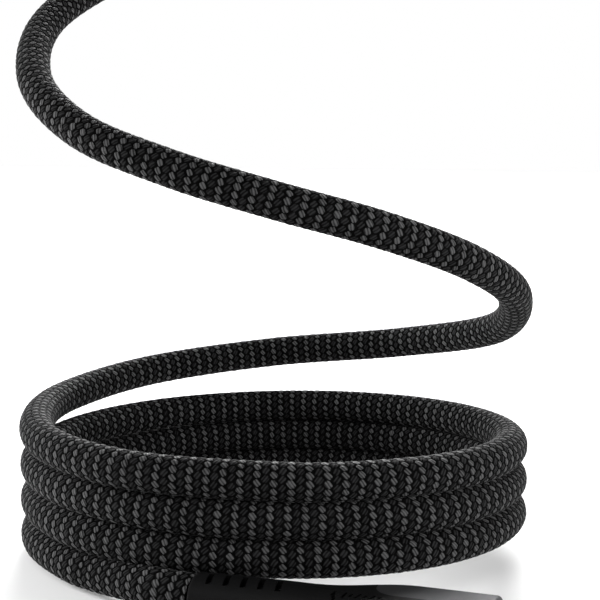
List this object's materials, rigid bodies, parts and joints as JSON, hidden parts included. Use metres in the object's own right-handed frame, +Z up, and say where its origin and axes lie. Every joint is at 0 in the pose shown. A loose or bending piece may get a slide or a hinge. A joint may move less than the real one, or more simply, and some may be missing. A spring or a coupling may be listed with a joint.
{
  "type": "usb-c charging cable",
  "caption": "Braided charging cable wound in a round coil, its free end rising in a loose helix, with a moulded USB-C plug on both ends.",
  "frame": {"origin": "centre of the flat underside of plug A's head, on the surface that the cable lies on", "axes": "+X the way plug A mates, out of its metal shell; +Y from plug A towards the middle of the coil; +Z up from the surface"},
  "size_m": [0.0898, 0.1096, 0.1098],
  "materials": {
    "cord": "woven light and dark strands",
    "grip": "fine matte",
    "front_shell": "satin anodised",
    "core": "smooth",
    "crimp": "satin",
    "insulation": "smooth",
    "inner_mould": "smooth",
    "shield": "satin",
    "board": "gloss",
    "chip": "matte",
    "passives": "matte",
    "plug_steel": "bright nickel",
    "insulator": "satin",
    "gold": "polished",
    "spring_steel": "satin"
  },
  "bodies": {
    "root": {"cord_coil": "cord", "cord_lead": "cord", "cord_rise": "cord", "overmould_a": "grip", "front_shell_a": "front_shell", "cable_end_a": "core", "crimp_ring_a": "crimp", "wires_a": "insulation", "inner_mould_a": "inner_mould", "shield_can_a": "shield", "board_a": "board", "marker_chip_a": "chip", "passives_a": "passives", "usb_shell_a": "plug_steel", "contact_block_a": "insulator", "contacts_upper_a": "gold", "contacts_lower_a": "gold", "latches_a": "spring_steel", "ground_springs_a": "spring_steel", "overmould_b": "grip", "front_shell_b": "front_shell", "cable_end_b": "core", "crimp_ring_b": "crimp", "wires_b": "insulation", "inner_mould_b": "inner_mould", "shield_can_b": "shield", "board_b": "board", "marker_chip_b": "chip", "passives_b": "passives", "usb_shell_b": "plug_steel", "contact_block_b": "insulator", "contacts_upper_b": "gold", "contacts_lower_b": "gold", "latches_b": "spring_steel", "ground_springs_b": "spring_steel"}
  },
  "joints": []
}
